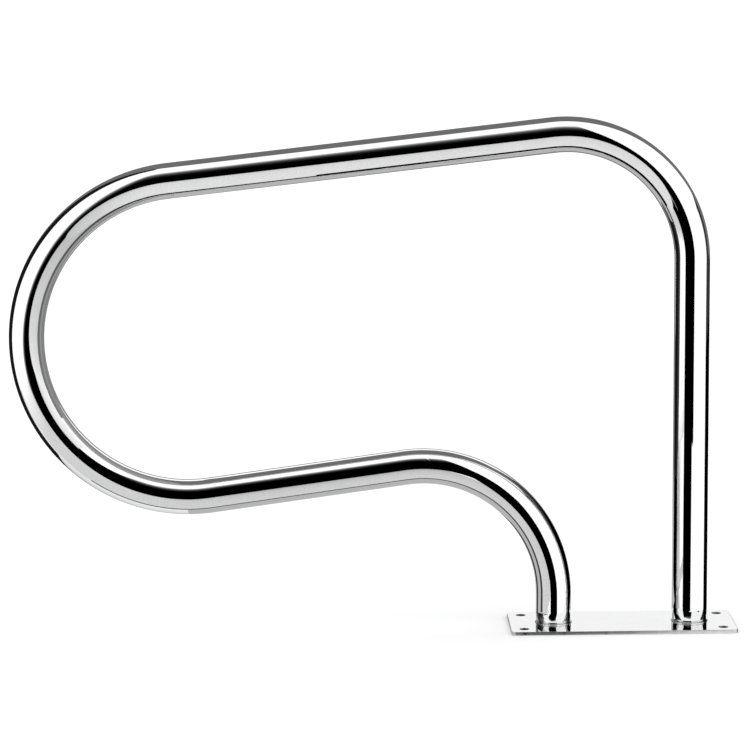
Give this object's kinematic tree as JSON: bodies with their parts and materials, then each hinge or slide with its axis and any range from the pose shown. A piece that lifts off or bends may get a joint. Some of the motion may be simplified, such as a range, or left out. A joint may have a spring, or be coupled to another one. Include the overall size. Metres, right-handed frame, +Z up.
{
  "type": "pool handrail",
  "caption": "Deck-mounted pool handrail: a bent polished steel tube with a closed end loop and legs of unequal height, welded to a drilled base plate.",
  "frame": {"origin": "centre of the base plate's underside, on the deck", "axes": "+Z up, +X along the rail to the tall leg, the end loop at -X, +Y across the rail; the rail lies in the XZ plane"},
  "size_m": [0.7795, 0.092, 0.5539],
  "materials": {
    "polished_tube": "mirror-polished stainless steel",
    "polished_plate": "mirror-polished stainless steel",
    "weld_bead": "polished stainless weld bead",
    "root_weld": "ground stainless weld"
  },
  "bodies": {
    "root": {"rail_tube": "polished_tube", "base_plate": "polished_plate", "tall_leg_weld": "weld_bead", "short_leg_weld": "weld_bead", "tall_leg_root_weld": "root_weld", "short_leg_root_weld": "root_weld"}
  },
  "joints": []
}
